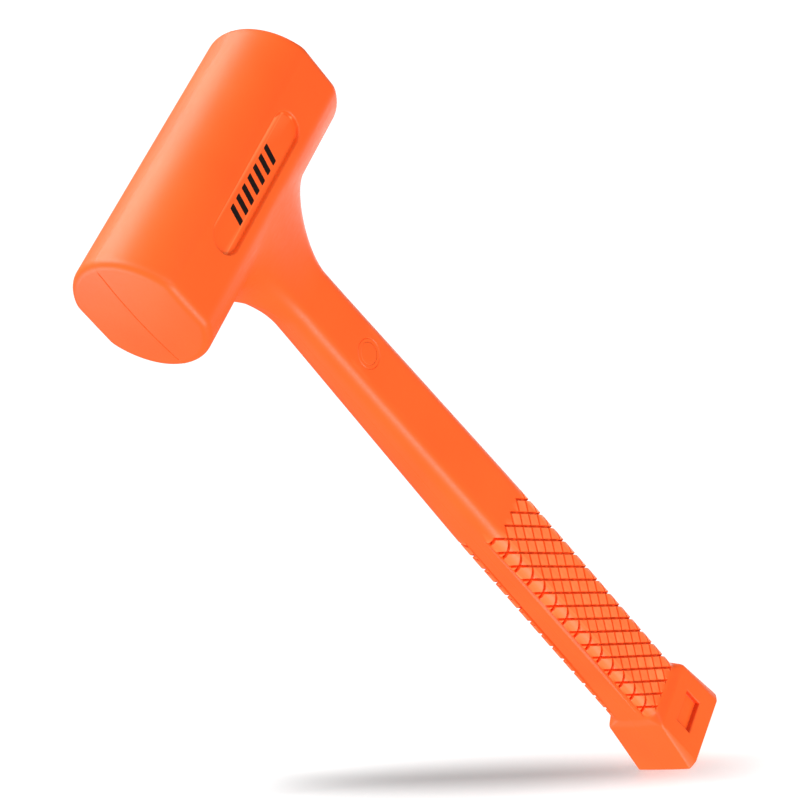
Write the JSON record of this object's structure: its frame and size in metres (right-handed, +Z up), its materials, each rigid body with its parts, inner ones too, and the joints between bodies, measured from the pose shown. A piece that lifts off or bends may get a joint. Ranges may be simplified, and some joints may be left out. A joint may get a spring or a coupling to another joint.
{
  "type": "dead blow mallet",
  "caption": "Orange moulded dead blow mallet: flat-sided barrel head on a flared straight handle with a diamond-pad grip and butt block; steel canister, loose shot and core rod inside.",
  "frame": {"origin": "centre of the flat butt end of the handle", "axes": "+Z up the handle to the head, +X along the head from striking face to striking face, Y from side flat to side flat"},
  "size_m": [0.1184, 0.047, 0.3529],
  "materials": {
    "moulded_body": "satin neon orange moulded elastomer with a fine mould texture",
    "canister_steel": "drawn steel tube, lightly oiled",
    "core_steel": "dark hot-rolled steel",
    "shot_steel": "tumbled steel shot"
  },
  "bodies": {
    "root": {"moulded_shell_left": "moulded_body", "moulded_shell_right": "moulded_body", "locator_plug_left": "moulded_body", "locator_plug_right": "moulded_body", "canister_tube": "canister_steel", "canister_cap_front": "canister_steel", "canister_cap_rear": "canister_steel", "core_socket": "core_steel", "core_socket_weld": "core_steel", "core_rod": "core_steel", "core_pin": "canister_steel", "core_anchor_collar": "core_steel"},
    "shot": {"shot_layer_01": "shot_steel", "shot_layer_02": "shot_steel", "shot_layer_03": "shot_steel", "shot_layer_04": "shot_steel", "shot_layer_05": "shot_steel", "shot_layer_06": "shot_steel", "shot_layer_07": "shot_steel", "shot_layer_08": "shot_steel"}
  },
  "joints": [
    {"name": "shot_slide", "type": "slide", "parent": "root", "child": "shot", "axis": [1, 0, 0], "range_m": [-0.01, 0.01]}
  ]
}
